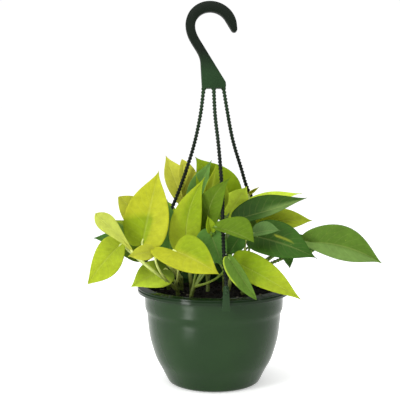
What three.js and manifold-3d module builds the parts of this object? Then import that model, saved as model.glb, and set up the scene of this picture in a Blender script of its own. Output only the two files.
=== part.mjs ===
// A neon pothos in a hanging basket, standing on its base.
// Millimetres, +Z up. The origin is on the floor, under the middle of the pot, and the front faces -Y.

import * as THREE from "three";
import { mergeVertices } from "three/addons/utils/BufferGeometryUtils.js";
import Module from "manifold-3d";

const wasm = await Module();
wasm.setup();

// Driving dimensions
const RIM_RADIUS = 102.5;
const RIM_TOP = 131;
const LIP_HEIGHT = 8;
const COLLAR_RADIUS = 92.6;
const COLLAR_FOOT = 100.5;
const BASE_RADIUS = 54.2;
const WALL = 2;
const FLOOR_THICKNESS = 2.6;
const CLEARANCE = 0.3;
const ROUND_SIDES = 36;

const DRAIN_HOLES = 5;
const DRAIN_RADIUS = 3.5;
const DRAIN_CIRCLE = 36;

const SOIL_TOP = 118;
const SOIL_CROWN = 1.5;
const STEM_RADIUS = 2.8;
const STEM_DEPTH = 14;
const HOLE_RADIUS = 3.4;
const HOLE_SIDES = 9;

const HOOK_THICKNESS = 6;
const HOOK_BEVEL = 0.7;
const HOOK_FOOT = 391.5;
const HOOK_YAW = 8;
const HOOK_LEAN = 18;
const STRAND_RADIUS = 2.4;
const CLIP_TOP_WIDTH = 7;
const CLIP_FOOT_WIDTH = 10.6;
const CLIP_TOP = 148;
const CLIP_FOOT = 117;
const CLIP_THICKNESS = 2.2;

const BLADE_THICKNESS = 0.8;
const PETIOLE_RADIUS = 1.6;

const COLOURS = { pot: 0x2f5233, hanger: 0x1c2e1f, soil: 0x1b1410, neon: 0xb4c62c, green: 0x4f8a2a };

// The pot's side between its foot and its collar, as radius and height.
const BELLY = [
  [62.4, 4.5], [70, 19.8], [76.7, 32.1], [82.5, 48.6], [86.4, 65], [88.4, 82], [89.5, COLLAR_FOOT - 6],
];

// Where the strands leave the hook plate, the points they pass, and the bearing of the clip that each
// one ends in, counted from the front towards +X.
const STRANDS = [
  { bearing: -111, through: [[-13.4, -1.1, 394], [-18, 3, 357], [-26, 9, 319], [-40, 16, 274], [-52, 20, 242],
    [-68, 27, 205], [-85, 34, 168]] },
  { bearing: 7.5, through: [[-0.8, 0.7, 394], [1, -10, 357], [5, -22, 321], [8, -34, 286], [10, -46, 255],
    [10, -61, 223], [11, -82, 189]] },
  { bearing: 129, through: [[12, 2.5, 394], [16, 4, 370], [25, 14, 324], [36, 24, 288], [49, 34, 250],
    [78, 47, 208], [103, 57, 172], [95, 65, 155]] },
];

// Every leaf: where its petiole meets the blade, where the tip is, which way its upper face looks and
// how wide it is. fold raises the two halves, arch bows the midrib, sway bends it sideways, belly puts
// the widest part nearer the tip when it is larger, and lobe draws the heart's shoulders back past the
// petiole. lean widens one half and narrows the other, skew moves one half's widest part nearer the tip
// than the other's, point narrows the end, drip hollows the edges before the tip, and slant draws one
// shoulder further back. via steers the petiole.
const STEMS = [
  { name: "stem_front_left_neon", colour: "neon", at: [-48, -14], top: [-50, -18, 134], leaves: [
    { base: [-102, -84, 187], tip: [-149, -80, 236], face: [0.3, 0.9, 0.35], width: 28, belly: 2.6,
      lean: 0.1, point: 0, drip: 0, via: [-76, -58, 158] },
    { base: [-120, -42, 191], tip: [-160, -76, 146], face: [-0.3, -0.9, 0.35], width: 48, arch: 0.08,
      belly: 1.05, lean: -0.12, skew: -0.43, drip: 0.2, via: [-86, -53, 162] },
    { base: [-77, -84, 189], tip: [-108, -92, 184], face: [0, -0.95, 0.3], width: 21, fold: 16,
      via: [-73, -60, 152] },
    { base: [-64, -12, 154], tip: [-108, -52, 137], face: [0.1, -0.75, 0.65], width: 46, lean: -0.15 },
    { base: [-52, -78, 189], tip: [5, -101, 163], face: [0.05, -0.72, 0.68], width: 60, fold: 16,
      arch: 0.06, belly: 0.76, lean: 0.05, skew: 0.25, drip: 0.3, lobe: 1, slant: 0.75,
      via: [-43, -62, 169] },
  ] },
  { name: "stem_left_neon", colour: "neon", at: [-44, 20], top: [-44, 14, 138], leaves: [
    { base: [-92, -62, 195], tip: [-71, -45, 287], face: [-0.1, -1, 0.2], width: 60, arch: 0.04,
      belly: 0.78, skew: -0.08, via: [-55, -34, 164] },
    { base: [-86, -6, 213], tip: [-126, -12, 250], face: [-0.1, -0.9, 0.4], width: 42, point: 0,
      drip: 0.1 },
    { base: [-87, -22, 180], tip: [-125, -30, 177], face: [-0.1, -0.75, 0.6], width: 32, lean: -0.2 },
  ] },
  { name: "stem_left_green", colour: "green", at: [-62, 32], top: [-66, 30, 140], leaves: [
    { base: [-97, 4, 186], tip: [-163, 22, 190], face: [0, -0.45, 0.9], width: 40, belly: 1 },
    { base: [-91, -30, 195], tip: [-134, -36, 223], face: [0.1, -0.85, 0.5], width: 28, lean: -0.1 },
    { base: [-58, -18, 178], tip: [-62, -6, 246], face: [0, -1, 0.1], width: 32 },
    { base: [-75, 44, 159], tip: [-48, 38, 134], face: [0, -0.9, 0.4], width: 34 },
  ] },
  { name: "stem_centre_neon", colour: "neon", at: [-30, 2], top: [-32, -2, 146], leaves: [
    { base: [-35, -50, 183], tip: [-12, -48, 279], face: [0, -1, 0.05], width: 42, sway: -0.1,
      belly: 0.74, skew: -0.08 },
    { base: [-39, 44, 232], tip: [-65, 36, 301], face: [-0.2, -1, 0], width: 42, belly: 1.15, lean: 0.35,
      skew: -0.15 },
    { base: [-36, 32, 225], tip: [-43, 27, 297], face: [0.1, -1, 0.1], width: 27, belly: 2, lean: 0.45,
      point: 0.3, drip: 0 },
  ] },
  { name: "stem_centre_green", colour: "green", at: [-8, 12], top: [-8, 10, 152], leaves: [
    { base: [-28, 16, 241], tip: [-3, 8, 297], face: [-0.3, -0.95, 0], width: 25, fold: 18, lean: -0.1 },
    { base: [21, 26, 235], tip: [-25, 14, 301], face: [0.1, -1, 0.1], width: 60, arch: 0.06 },
    { base: [-11, -24, 233], tip: [2, -22, 292], face: [0.3, -0.95, 0], width: 38, fold: 24, lean: 0.35 },
    { base: [-7, -37, 208], tip: [20, -58, 279], face: [-0.3, -0.95, 0], width: 37, fold: 16,
      sway: -0.13 },
    { base: [19, 12, 223], tip: [44, 6, 262], face: [0.2, -0.95, 0.3], width: 36, fold: 8, belly: 1 },
    { base: [-21, 42, 157], tip: [-53, 32, 134], face: [0, -0.9, 0.4], width: 44 },
    { base: [-12, 0, 175], tip: [-17, -8, 229], face: [0, -1, 0.1], width: 46 },
  ] },
  { name: "stem_front_green", colour: "green", at: [-30, -24], top: [-26, -28, 134], leaves: [
    { base: [-5, -68, 211], tip: [-9, -72, 232], face: [0.3, -0.9, 0], width: 15, fold: 30,
      via: [4, -36, 190] },
    { base: [0, -72, 218], tip: [48, -94, 202], face: [0, -0.7, 0.7], width: 33, arch: 0.06, belly: 1.15,
      lean: -0.62, skew: -0.3, drip: 0.2, via: [6, -38, 200] },
    { base: [-7, -57, 213], tip: [10, -69, 169], face: [0, -0.95, 0.3], width: 42, belly: 1, lean: 0.25,
      drip: 0.3 },
    { base: [32, -54, 203], tip: [16, -62, 180], face: [0.1, -0.95, 0.3], width: 25 },
    { base: [49, -62, 208], tip: [82, -74, 214], face: [0, -0.6, 0.8], width: 26, lean: -0.3,
      via: [14, -40, 190] },
    { base: [17, -94, 183], tip: [51, -110, 133], face: [-0.3, -0.85, 0.35], width: 22, fold: 26,
      lean: 0.25, point: 0.2, drip: 0, via: [16, -70, 150] },
  ] },
  { name: "stem_right_neon", colour: "neon", at: [16, -34], top: [20, -38, 140], leaves: [
    { base: [24, -76, 175], tip: [107, -108, 132], face: [0.2, -0.82, 0.55], width: 42, fold: 8,
      arch: 0.03, belly: 0.75, lean: -0.1 },
  ] },
  { name: "stem_right_green", colour: "green", at: [38, -10], top: [42, -14, 146], leaves: [
    { base: [50, -42, 202], tip: [129, -72, 178], face: [0, -0.72, 0.7], width: 59, fold: 8, arch: 0.06,
      belly: 0.78, lean: -0.05 },
    { base: [116, -35, 193], tip: [215, -52, 168], face: [0, -0.8, 0.6], width: 55, fold: 22, arch: 0.07,
      sway: -0.05, belly: 1.15 },
    { base: [94, -22, 182], tip: [99, -28, 157], face: [0.3, -0.9, 0.2], width: 16 },
    { base: [129, -12, 177], tip: [108, -16, 203], face: [0, -0.85, 0.5], width: 20 },
  ] },
  { name: "stem_right_back_lime", colour: "neon", at: [38, 22], top: [42, 20, 148], leaves: [
    { base: [49, 20, 238], tip: [120, 34, 250], face: [0, -0.3, 0.95], width: 32, arch: 0.02 },
    { base: [48, 26, 250], tip: [61, 19, 260], face: [0, -1, 0.2], width: 7, fold: 50 },
    { base: [60, -4, 212], tip: [132, 6, 216], face: [0, -0.65, 0.75], width: 42, fold: 8, lean: -0.1 },
  ] },
  { name: "stem_upper_right_green", colour: "green", at: [14, 2], top: [14, -4, 150], leaves: [
    { base: [29, -30, 223], tip: [123, -6, 248], face: [0.1, -0.42, 0.9], width: 46, arch: -0.02,
      belly: 0.8, lean: -0.34, skew: -0.3 },
    { base: [6, 26, 157], tip: [33, 14, 136], face: [0, -0.9, 0.4], width: 35, fold: 12 },
  ] },
  { name: "stem_back_left_neon", colour: "neon", at: [-26, 44], top: [-28, 46, 142], leaves: [
    { base: [-74, 46, 190], tip: [-120, 66, 196], face: [-0.3, 0.1, 0.95], width: 38, fold: 14,
      arch: 0.1 },
    { base: [-62, 54, 178], tip: [-105, 72, 160], face: [-0.3, 0.3, 0.9], width: 38, fold: 12,
      arch: 0.12 },
    { base: [-30, 74, 190], tip: [-50, 125, 162], face: [-0.1, 0.6, 0.8], width: 46, fold: 12,
      arch: 0.12 },
    { base: [-60, 50, 206], tip: [-85, 85, 236], face: [-0.5, -0.3, 0.8], width: 38, fold: 14 },
    { base: [-16, 58, 215], tip: [-25, 82, 272], face: [-0.1, 0.9, -0.3], width: 40, fold: 14 },
  ] },
  { name: "stem_back_right_green", colour: "green", at: [18, 48], top: [20, 50, 142], leaves: [
    { base: [2, 82, 182], tip: [12, 138, 150], face: [0.1, 0.6, 0.8], width: 46, arch: 0.12 },
    { base: [36, 74, 192], tip: [60, 125, 184], face: [0.2, 0.5, 0.85], width: 44, fold: 12, arch: 0.12 },
    { base: [54, 58, 176], tip: [98, 98, 170], face: [0.3, 0.3, 0.9], width: 40, fold: 12, arch: 0.12 },
    { base: [18, 56, 212], tip: [34, 92, 256], face: [0.1, 0.8, -0.4], width: 38, fold: 14 },
    { base: [50, 54, 194], tip: [92, 84, 206], face: [0.2, -0.2, 0.95], width: 36, fold: 12, arch: 0.08 },
    { base: [44, 58, 216], tip: [74, 92, 226], face: [0.2, 0, 0.95], width: 36, fold: 12, arch: 0.08 },
  ] },
];

// A closed geometry as a solid that can be joined and cut.
function solid(geometry) {
  const bare = geometry.index ? geometry.clone() : geometry;
  bare.deleteAttribute("normal");
  bare.deleteAttribute("uv");
  const merged = mergeVertices(bare, 1e-4);
  return new wasm.Manifold(new wasm.Mesh({
    numProp: 3,
    vertProperties: new Float32Array(merged.attributes.position.array),
    triVerts: new Uint32Array(merged.index.array),
  }));
}

function named(shape, name, colour, roughness) {
  const { numProp, vertProperties, triVerts } = shape.getMesh();
  const geometry = new THREE.BufferGeometry();
  geometry.setAttribute("position", new THREE.BufferAttribute(vertProperties, numProp));
  geometry.setIndex(new THREE.BufferAttribute(triVerts, 1));
  geometry.computeVertexNormals();
  const material = new THREE.MeshStandardMaterial({ color: COLOURS[colour], roughness, metalness: 0 });
  const mesh = new THREE.Mesh(geometry, material);
  mesh.name = name;
  return mesh;
}

// Joining can shut a hollow or leave a crumb behind: the body is what is left when both are dropped.
function wholeBody(shape) {
  return shape.decompose().reduce((largest, piece) => (piece.volume() > largest.volume() ? piece : largest));
}

// Turned shapes: the profile is a list of radius and height.
function turned(profile, sides = ROUND_SIDES) {
  const lathe = new THREE.LatheGeometry(profile.map(([r, z]) => new THREE.Vector2(r, z)), sides);
  lathe.rotateX(Math.PI / 2);
  return solid(lathe);
}

// A many-sided rod along a curve.
function rod(curve, radius, sides, steps) {
  const section = new THREE.Shape();
  for (let i = 0; i < sides; i += 1) {
    const turn = 2 * Math.PI * i / sides;
    const method = i === 0 ? "moveTo" : "lineTo";
    section[method](radius * Math.cos(turn), radius * Math.sin(turn));
  }
  section.closePath();
  return solid(new THREE.ExtrudeGeometry(section, { extrudePath: curve, steps, bevelEnabled: false }));
}

function pegs(places, radius, sides, foot, top) {
  return places.map(([x, y]) => {
    const peg = new THREE.CylinderGeometry(radius, radius, top - foot, sides);
    peg.rotateX(Math.PI / 2);
    peg.translate(x, y, (top + foot) / 2);
    return solid(peg);
  });
}

const bellyCurve = new THREE.SplineCurve(BELLY.map(([r, z]) => new THREE.Vector2(r, z)));
const bellyPoints = bellyCurve.getPoints(6).map((p) => [p.x, p.y]);

// The pot: a thin moulded shell with a flat base, a bowed belly, a straight collar and a turned-down lip.
function makePot() {
  const lipFoot = RIM_TOP - LIP_HEIGHT;
  const outside = [
    [0, 0], [BASE_RADIUS, 0], [BASE_RADIUS + 4.3, 0.9], [BASE_RADIUS + 7, 2.4],
    ...bellyPoints,
    [COLLAR_RADIUS - 0.8, COLLAR_FOOT], [COLLAR_RADIUS, RIM_TOP - 5.5],
    [COLLAR_RADIUS + 1, RIM_TOP - 4], [RIM_RADIUS - 3, RIM_TOP - 3.6],
    [RIM_RADIUS - 2.4, lipFoot], [RIM_RADIUS - 0.4, lipFoot],
    [RIM_RADIUS, RIM_TOP - 4], [RIM_RADIUS - 1.4, RIM_TOP - 1],
  ];
  const inside = [
    [COLLAR_RADIUS - 0.6, RIM_TOP], [COLLAR_RADIUS - WALL - 0.4, RIM_TOP - 0.6],
    [COLLAR_RADIUS - WALL, RIM_TOP - 3], [COLLAR_RADIUS - WALL - 0.2, COLLAR_FOOT + 1],
    ...bellyPoints.toReversed().map(([r, z]) => [r - WALL, Math.max(z, FLOOR_THICKNESS + 1)]),
    [BASE_RADIUS - 1, FLOOR_THICKNESS], [0, FLOOR_THICKNESS],
  ];
  const places = [];
  for (let i = 0; i < DRAIN_HOLES; i += 1) {
    const turn = 2 * Math.PI * i / DRAIN_HOLES;
    places.push([DRAIN_CIRCLE * Math.sin(turn), -DRAIN_CIRCLE * Math.cos(turn)]);
  }
  let pot = turned([...outside, ...inside]);
  for (const drain of pegs(places, DRAIN_RADIUS, HOLE_SIDES, -1, FLOOR_THICKNESS + 1)) {
    pot = pot.subtract(drain);
  }
  return pot;
}

// The soil fills the pot to a little under the rim, with a plain blind hole for each stem.
function makeSoil() {
  const gap = WALL + CLEARANCE;
  const edge = COLLAR_RADIUS - 0.2 - gap;
  const side = bellyPoints.map(([r, z]) => [r - gap, Math.max(z, FLOOR_THICKNESS + 1 + CLEARANCE)]);
  let soil = turned([
    [0, FLOOR_THICKNESS + CLEARANCE], [BASE_RADIUS - 1.4, FLOOR_THICKNESS + CLEARANCE],
    ...side,
    [edge - 0.2, COLLAR_FOOT + 1.6], [edge, SOIL_TOP - 1.5], [edge - 12, SOIL_TOP],
    [edge / 2, SOIL_TOP + SOIL_CROWN], [0, SOIL_TOP + SOIL_CROWN],
  ]);
  const places = STEMS.map((stem) => stem.at);
  for (const hole of pegs(places, HOLE_RADIUS, HOLE_SIDES, SOIL_TOP - STEM_DEPTH, SOIL_TOP + 10)) {
    soil = soil.subtract(hole);
  }
  return soil;
}

// The hook and its plate, cut from one flat outline that stands up in the X-Z plane. The slack strands
// push the plate, so that it leans back over its foot and is turned a little.
function makeHook() {
  const { degToRad } = THREE.MathUtils;
  const outline = new THREE.Shape();
  outline.moveTo(-16.2, HOOK_FOOT);
  outline.lineTo(-16.6, 428);
  outline.bezierCurveTo(-17.4, 445, -34.2, 455, -34.2, 479);
  outline.absarc(0.2, 479, 34.4, Math.PI, 0, true);
  outline.absarc(30.7, 474, 4.1, 0, degToRad(-149), true);
  outline.absarc(0, 476.5, 21.8, degToRad(31), Math.PI, false);
  outline.bezierCurveTo(-21.8, 470, -19.4, 464, -16.5, 458.7);
  outline.lineTo(15.4, 400);
  outline.lineTo(15.7, 395.5);
  outline.lineTo(15, HOOK_FOOT);
  outline.closePath();
  const plate = new THREE.ExtrudeGeometry(outline, {
    depth: HOOK_THICKNESS - 2 * HOOK_BEVEL,
    curveSegments: 6,
    bevelSegments: 1,
    bevelThickness: HOOK_BEVEL,
    bevelSize: HOOK_BEVEL,
    bevelOffset: -HOOK_BEVEL,
  });
  plate.translate(0, -HOOK_FOOT, HOOK_BEVEL - HOOK_THICKNESS / 2);
  plate.rotateX(Math.PI / 2 - degToRad(HOOK_LEAN));
  plate.rotateZ(degToRad(HOOK_YAW));
  plate.translate(0, 0, HOOK_FOOT);
  return solid(plate);
}

// A clip that grips the pot's lip: its profile is radius and height, and it widens towards its foot.
function makeClip(bearing) {
  const face = RIM_RADIUS + CLEARANCE + 0.2;
  const back = face + CLIP_THICKNESS;
  const lipFoot = RIM_TOP - LIP_HEIGHT - CLEARANCE;
  const profile = [
    [back, CLIP_FOOT], [back, CLIP_TOP - 2], [back - 0.7, CLIP_TOP], [face + 0.2, CLIP_TOP],
    [face - 0.2, RIM_TOP + CLEARANCE + 2], [RIM_RADIUS - 8, RIM_TOP + CLEARANCE + 1.6],
    [RIM_RADIUS - 8, RIM_TOP + CLEARANCE], [face, RIM_TOP + CLEARANCE],
    [face, lipFoot], [RIM_RADIUS - 2, lipFoot], [RIM_RADIUS - 2, lipFoot - 1.4], [face + 0.6, CLIP_FOOT],
  ];
  const outline = new THREE.Shape(profile.map(([r, z]) => new THREE.Vector2(r, z)));
  const clip = new THREE.ExtrudeGeometry(outline, { depth: 1, bevelEnabled: false });
  clip.translate(0, 0, -0.5);
  const corners = clip.getAttribute("position");
  for (let i = 0; i < corners.count; i += 1) {
    const drop = (CLIP_TOP - corners.getY(i)) / (CLIP_TOP - CLIP_FOOT);
    corners.setZ(i, corners.getZ(i) * THREE.MathUtils.lerp(CLIP_TOP_WIDTH, CLIP_FOOT_WIDTH, drop));
  }
  clip.rotateX(Math.PI / 2);
  clip.rotateZ(THREE.MathUtils.degToRad(bearing - 90));
  return solid(clip);
}

// The hanger is one moulding: the hook and plate, three strands and the clip at the foot of each.
function makeHanger() {
  let hanger = makeHook();
  for (const { bearing, through } of STRANDS) {
    const turn = THREE.MathUtils.degToRad(bearing);
    const reach = RIM_RADIUS + CLEARANCE + 0.2 + CLIP_THICKNESS / 2;
    const foot = [reach * Math.sin(turn), -reach * Math.cos(turn)];
    const points = [...through, [...foot, CLIP_TOP - 1], [...foot, CLIP_TOP - 10]];
    const curve = new THREE.CatmullRomCurve3(points.map((p) => new THREE.Vector3(...p)));
    hanger = hanger.add(rod(curve, STRAND_RADIUS, 7, 17)).add(makeClip(bearing));
  }
  return hanger;
}

const BLADE_ROWS = [0, 0.04, 0.14, 0.3, 0.5, 0.7, 0.88, 1];
const BLADE_COLUMNS = [-1, 0, 1];

// A point of the blade's middle surface. t runs from the petiole to the tip, s from one edge to the other.
function bladeSurface(leaf) {
  const { width, fold = 10, arch = 0.05, sway = 0, belly = 0.85, lobe = 0.5 } = leaf;
  const { lean = 0, skew = 0, slant = 0, point = 0.4, drip = 0.6 } = leaf;
  const base = new THREE.Vector3(...leaf.base);
  const along = new THREE.Vector3(...leaf.tip).sub(base);
  const length = along.length();
  along.normalize();
  const face = new THREE.Vector3(...leaf.face);
  face.addScaledVector(along, -face.dot(along)).normalize();
  const side = new THREE.Vector3().crossVectors(along, face);
  const lift = THREE.MathUtils.degToRad(fold);
  return (t, s) => {
    const hand = Math.sign(s);
    const round = Math.sin(Math.PI * t ** (belly * (1 + skew * hand)));
    const swell = round ** (0.75 + drip * t ** 3) * (1 - point * t ** 4);
    const half = width / 2 * (1 + lean * hand) * swell;
    const out = half * s * Math.cos(lift);
    const up = half * Math.abs(s) * Math.sin(lift);
    const bow = 4 * t * (1 - t) * length;
    return base.clone()
      .addScaledVector(along, length * (t - lobe * Math.sqrt(t) * (1 - t) ** 2 * (Math.abs(s) + slant * s)))
      .addScaledVector(side, out + sway * bow)
      .addScaledVector(face, up + arch * bow);
  };
}

function bladeNormal(surface, t, s) {
  const step = 0.01;
  const t1 = Math.min(Math.max(t, 3 * step), 1 - 3 * step);
  const across = surface(t1, Math.min(s + step, 1)).sub(surface(t1, Math.max(s - step, -1)));
  const onward = surface(t1 + step, s).sub(surface(t1 - step, s));
  return across.cross(onward).normalize();
}

// A blade: the same grid of triangles on both faces, closed by a narrow wall round the edge.
function makeBlade(leaf) {
  const surface = bladeSurface(leaf);
  const positions = [];
  const index = [];
  const grid = [[], []];
  BLADE_ROWS.forEach((t, row) => {
    const columns = t === 0 || t === 1 ? [0] : BLADE_COLUMNS;
    [1, -1].forEach((sign, level) => {
      grid[level][row] = columns.map((s) => {
        const point = surface(t, s);
        point.addScaledVector(bladeNormal(surface, t, s), sign * BLADE_THICKNESS / 2);
        positions.push(...point.toArray());
        return positions.length / 3 - 1;
      });
    });
  });
  const pick = (level, row, column) => {
    const line = grid[level][row];
    return line.length === 1 ? line[0] : line[column];
  };
  const quad = (a, b, c, d) => {
    if (a !== b && b !== c && a !== c) {
      index.push(a, b, c);
    }
    if (a !== c && c !== d && a !== d) {
      index.push(a, c, d);
    }
  };
  const last = BLADE_COLUMNS.length - 1;
  for (let row = 0; row < BLADE_ROWS.length - 1; row += 1) {
    for (let column = 0; column < last; column += 1) {
      const corners = [[row, column], [row, column + 1], [row + 1, column + 1], [row + 1, column]];
      const [a, b, c, d] = corners.map(([r, k]) => pick(0, r, k));
      const [e, f, g, h] = corners.map(([r, k]) => pick(1, r, k));
      quad(a, b, c, d);
      if (e !== f && f !== g && e !== g) {
        index.push(e, g, f);
      }
      if (e !== g && g !== h && e !== h) {
        index.push(e, h, g);
      }
    }
    quad(pick(0, row, 0), pick(0, row + 1, 0), pick(1, row + 1, 0), pick(1, row, 0));
    quad(pick(0, row + 1, last), pick(0, row, last), pick(1, row, last), pick(1, row + 1, last));
  }
  const geometry = new THREE.BufferGeometry();
  geometry.setAttribute("position", new THREE.BufferAttribute(new Float32Array(positions), 3));
  geometry.setIndex(index);
  return solid(geometry);
}

// The petiole climbs from the stem, leans over and runs a little way along under the midrib.
function makePetiole(leaf, start) {
  const base = new THREE.Vector3(...leaf.base);
  const bend = leaf.via ? new THREE.Vector3(...leaf.via) : new THREE.Vector3(
    THREE.MathUtils.lerp(start.x, base.x, 0.45),
    THREE.MathUtils.lerp(start.y, base.y, 0.45),
    THREE.MathUtils.lerp(start.z, base.z, 0.75),
  );
  const climb = new THREE.QuadraticBezierCurve3(start, bend, base);
  const curve = new THREE.CatmullRomCurve3([...climb.getPoints(4), bladeSurface(leaf)(0.07, 0)]);
  return rod(curve, PETIOLE_RADIUS, 5, 5);
}

// A stem stands in its hole and carries its leaves, all grown together as one body.
function stemCurve({ at, top }) {
  return new THREE.CatmullRomCurve3([
    new THREE.Vector3(...at, SOIL_TOP - STEM_DEPTH + CLEARANCE),
    new THREE.Vector3(...at, SOIL_TOP + SOIL_CROWN + 1),
    new THREE.Vector3(...top),
  ]);
}

function makeStem(stem) {
  const curve = stemCurve(stem);
  let plant = rod(curve, STEM_RADIUS, 7, 5);
  stem.leaves.forEach((leaf, order) => {
    const start = curve.getPoint(0.62 + 0.34 * (order + 1) / stem.leaves.length);
    plant = plant.add(makePetiole(leaf, start)).add(makeBlade(leaf));
  });
  return wholeBody(plant);
}

const plantInPot = new THREE.Group();
plantInPot.add(named(makePot(), "pot", "pot", 0.35));
plantInPot.add(named(makeSoil(), "soil", "soil", 0.95));
plantInPot.add(named(makeHanger(), "hanger", "hanger", 0.45));
for (const stem of STEMS) {
  plantInPot.add(named(makeStem(stem), stem.name, stem.colour, 0.5));
}

export default plantInPot;
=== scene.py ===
# %% [markdown]
# # A neon pothos in its hanging basket
#
# The object is a young pothos in a dark green plastic basket. The basket stands on its base, and its
# moulded hanger is slack above the leaves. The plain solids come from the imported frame, and this lesson
# dresses them: a smooth pot, crumbly soil, a hanger with twisted strands, and thin veined leaves.
#
# Everything is planned in millimetres, the way the real sizes are known, and becomes metres at the end.

# %% Load the frame
import math
import random

import bmesh
import bpy
from mathutils import Matrix, Vector, noise


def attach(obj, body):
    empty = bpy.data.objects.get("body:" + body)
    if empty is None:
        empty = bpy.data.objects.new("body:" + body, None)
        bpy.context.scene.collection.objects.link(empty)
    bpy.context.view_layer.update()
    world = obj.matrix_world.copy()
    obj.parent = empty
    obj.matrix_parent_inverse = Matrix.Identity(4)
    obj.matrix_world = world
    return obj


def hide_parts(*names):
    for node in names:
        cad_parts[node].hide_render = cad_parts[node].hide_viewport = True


MM = 0.001
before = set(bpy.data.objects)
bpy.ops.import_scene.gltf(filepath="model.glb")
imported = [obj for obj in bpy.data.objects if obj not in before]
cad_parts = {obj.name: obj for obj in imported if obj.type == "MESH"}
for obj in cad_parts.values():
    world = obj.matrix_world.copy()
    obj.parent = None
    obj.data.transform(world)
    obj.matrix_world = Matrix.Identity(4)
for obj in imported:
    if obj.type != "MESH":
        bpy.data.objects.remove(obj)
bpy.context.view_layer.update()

# %% [markdown]
# ## Camera
#
# The photograph is taken from a little above the rim, a bit to the left of the pot's axis. The size of
# the three ellipses of lip, collar and base settles the distance and the tilt, and the lens follows from
# the width of the rim.

# %% Camera
CAMERA_AT = Vector((-18.6, -1280, 379)) * MM
CAMERA_PITCH = math.radians(90 - 6)
IMAGE_SIDE = 400
FOCAL_PIXELS = 970
SENSOR = 36

camera_data = bpy.data.cameras.new("camera")
camera_data.sensor_width = SENSOR
camera_data.lens = FOCAL_PIXELS / IMAGE_SIDE * SENSOR
camera = bpy.data.objects.new("camera", camera_data)
camera.location = CAMERA_AT
camera.rotation_euler = (CAMERA_PITCH, 0, 0)
bpy.context.scene.collection.objects.link(camera)
bpy.context.scene.camera = camera
print("lens:", round(camera_data.lens, 1), "mm")

# %% [markdown]
# ## Small helpers for shaders
#
# Every finish below is a node tree. These helpers add a node, set its sockets and wire it, so that each
# material reads as a short list of what the surface does.

# %% Shader helpers
def linear(hex_colour):
    """An sRGB colour such as "b4c62c" as the linear values that a shader works with."""
    parts = [int(hex_colour[i:i + 2], 16) / 255 for i in (0, 2, 4)]
    return tuple(c / 12.92 if c <= 0.04045 else ((c + 0.055) / 1.055) ** 2.4 for c in parts)


class Finish:
    """A material in the making: add() places a node, and a socket takes a value or another output."""

    def __init__(self, name):
        self.material = bpy.data.materials.new(name)
        self.material.use_nodes = True
        self.tree = self.material.node_tree
        self.tree.nodes.clear()
        self.output = self.tree.nodes.new("ShaderNodeOutputMaterial")

    def add(self, kind, settings=None, **sockets):
        node = self.tree.nodes.new("ShaderNode" + kind)
        for key, value in (settings or {}).items():
            setattr(node, key, value)
        for key, value in sockets.items():
            self.plug(node, key, value)
        return node

    def plug(self, node, key, value):
        name = key.replace("_", " ")
        socket = node.inputs[int(key[1:])] if key[1:].isdigit() else node.inputs[name]
        if isinstance(value, bpy.types.NodeSocket):
            self.tree.links.new(value, socket)
        elif socket.type == "RGBA" and len(value) == 3:
            socket.default_value = (*value, 1)
        else:
            socket.default_value = value

    def coordinates(self, scale=(1, 1, 1)):
        place = self.add("TexCoord").outputs["Object"]
        return self.add("Mapping", Vector=place, Scale=scale).outputs["Vector"]

    def noise(self, scale, detail=3.0, roughness=0.5, vector=None):
        place = vector or self.coordinates()
        texture = self.add("TexNoise", Vector=place, Scale=scale, Detail=detail, Roughness=roughness)
        return texture.outputs["Fac"]

    def math(self, operation, a, b=0.0, c=0.0):
        return self.add("Math", {"operation": operation}, _0=a, _1=b, _2=c).outputs[0]

    def remap(self, value, low, high, to_low=0.0, to_high=1.0):
        return self.add("MapRange", _0=value, _1=low, _2=high, _3=to_low, _4=to_high).outputs[0]

    def mix(self, factor, a, b, blend="MIX"):
        node = self.add("Mix", {"data_type": "RGBA", "blend_type": blend}, _0=factor, _6=a, _7=b)
        return node.outputs[2]

    def bump(self, height, distance, strength=1.0):
        return self.add("Bump", Height=height, Distance=distance, Strength=strength).outputs["Normal"]

    def finish(self, shader):
        self.tree.links.new(shader, self.output.inputs["Surface"])
        return self.material


print("palette example:", [round(c, 3) for c in linear("b4c62c")])

# %% [markdown]
# ## Small helpers for meshes
#
# Leaves, stalks and strands are all a flat grid that is bent into place: one function makes the grid with
# its UV map and moves each vertex to where a formula puts it. A grid that is rolled up is a tube.

# %% Mesh helpers
def bent_grid(bm, across, along, place):
    """Adds a grid of across x along cells and moves each vertex to place(u, v), u and v from 0 to 1."""
    made = bmesh.ops.create_grid(bm, x_segments=across, y_segments=along, size=0.5, calc_uvs=True)
    for vert in made["verts"]:
        vert.co = place(vert.co.x + 0.5, vert.co.y + 0.5)
    return made["verts"]


def spline(points):
    """A smooth curve through points, as a function of t from 0 to 1. It is the frame's own curve."""
    points = [Vector(p) for p in points]
    padded = [2 * points[0] - points[1], *points, 2 * points[-1] - points[-2]]

    def at(t):
        place = min(max(t, 0), 1) * (len(points) - 1)
        i = min(int(place), len(points) - 2)
        w = place - i
        p0, p1, p2, p3 = padded[i:i + 4]
        d0, d1, d2 = [max((b - a).length, 1e-4) ** 0.5 for a, b in ((p0, p1), (p1, p2), (p2, p3))]
        start = ((p1 - p0) / d0 - (p2 - p0) / (d0 + d1) + (p2 - p1) / d1) * d1
        end = ((p2 - p1) / d1 - (p3 - p1) / (d1 + d2) + (p3 - p2) / d2) * d1
        return (p1 + start * w + (3 * (p2 - p1) - 2 * start - end) * w ** 2
                + (2 * (p1 - p2) + start + end) * w ** 3)

    return at


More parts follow.
